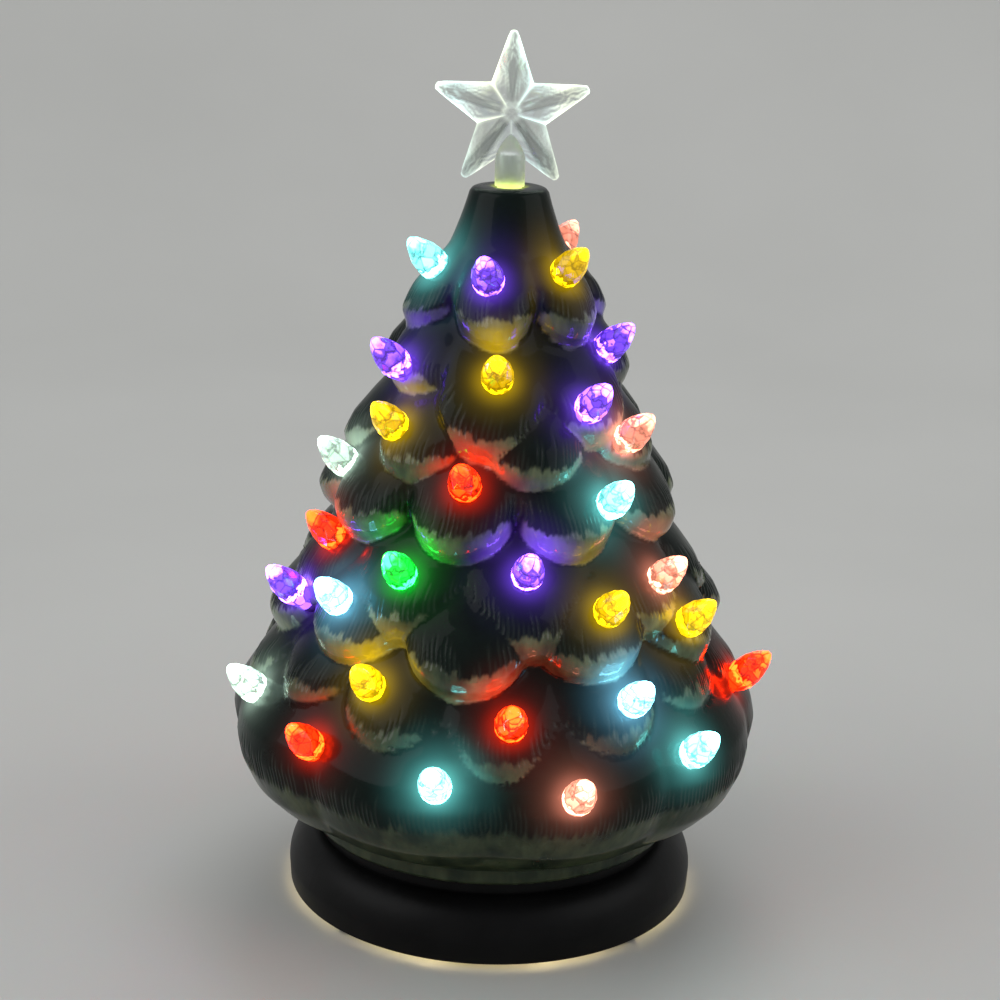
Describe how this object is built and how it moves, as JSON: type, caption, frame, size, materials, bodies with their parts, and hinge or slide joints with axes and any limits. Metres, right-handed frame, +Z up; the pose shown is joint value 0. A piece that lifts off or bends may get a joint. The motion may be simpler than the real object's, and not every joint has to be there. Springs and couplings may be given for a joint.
{
  "type": "lit ceramic christmas tree",
  "caption": "Hollow glazed ceramic tabletop tree with drooping boughs, coloured lamp pegs and a clear star, lifting off a round battery-lit plinth.",
  "frame": {"origin": "on the surface the tree stands on, under the middle of the plinth", "axes": "+Z up along the tree's axis, -Y towards the front that is pictured, +X to its right"},
  "size_m": [0.2388, 0.2537, 0.381],
  "materials": {
    "green_glaze": "gloss",
    "clear_plastic": "gloss",
    "black_plastic": "satin",
    "white_plastic": "matte",
    "frosted_plastic": "matte",
    "steel": "satin",
    "board": "satin",
    "lamp_lens": "gloss",
    "cell_jacket": "gloss",
    "rubber": "matte",
    "red_insulation": "satin",
    "black_insulation": "satin",
    "red_lamp": "gloss",
    "yellow_lamp": "gloss",
    "green_lamp": "gloss",
    "teal_lamp": "gloss",
    "blue_lamp": "gloss",
    "purple_lamp": "gloss",
    "pink_lamp": "gloss",
    "clear_lamp": "gloss"
  },
  "bodies": {
    "base": {"base_plinth": "black_plastic", "foot_pad_1": "rubber", "foot_pad_2": "rubber", "foot_pad_3": "rubber", "foot_pad_4": "rubber", "light_tray": "white_plastic", "tray_screws": "steel", "light_dome": "frosted_plastic", "led_board": "board", "led_1": "lamp_lens", "led_2": "lamp_lens", "led_3": "lamp_lens", "led_4": "lamp_lens", "cell_1": "cell_jacket", "cell_2": "cell_jacket", "cell_3": "cell_jacket", "contact_positive": "steel", "contact_bridge_right": "steel", "contact_bridge_left": "steel", "contact_negative": "steel", "lead_positive": "red_insulation", "lead_switch": "red_insulation", "lead_negative": "black_insulation", "switch_body": "black_plastic"},
    "tree": {"tree_shell": "green_glaze", "red_lamps": "red_lamp", "yellow_lamps": "yellow_lamp", "green_lamps": "green_lamp", "teal_lamps": "teal_lamp", "blue_lamps": "blue_lamp", "purple_lamps": "purple_lamp", "pink_lamps": "pink_lamp", "clear_lamps": "clear_lamp"},
    "star": {"star_topper": "clear_plastic"},
    "cover": {"battery_cover": "white_plastic"},
    "knob": {"switch_knob": "white_plastic"}
  },
  "joints": [
    {"name": "tree_lift", "type": "slide", "parent": "base", "child": "tree", "axis": [0, 0, 1], "range_m": [0, 0.1]},
    {"name": "star_lift", "type": "slide", "parent": "tree", "child": "star", "axis": [0, 0, 1], "range_m": [0, 0.03]},
    {"name": "cover_slide", "type": "slide", "parent": "base", "child": "cover", "axis": [1, 0, 0], "range_m": [0, 0.045]},
    {"name": "switch_slide", "type": "slide", "parent": "base", "child": "knob", "axis": [1, 0, 0], "range_m": [0, 0.004]}
  ]
}
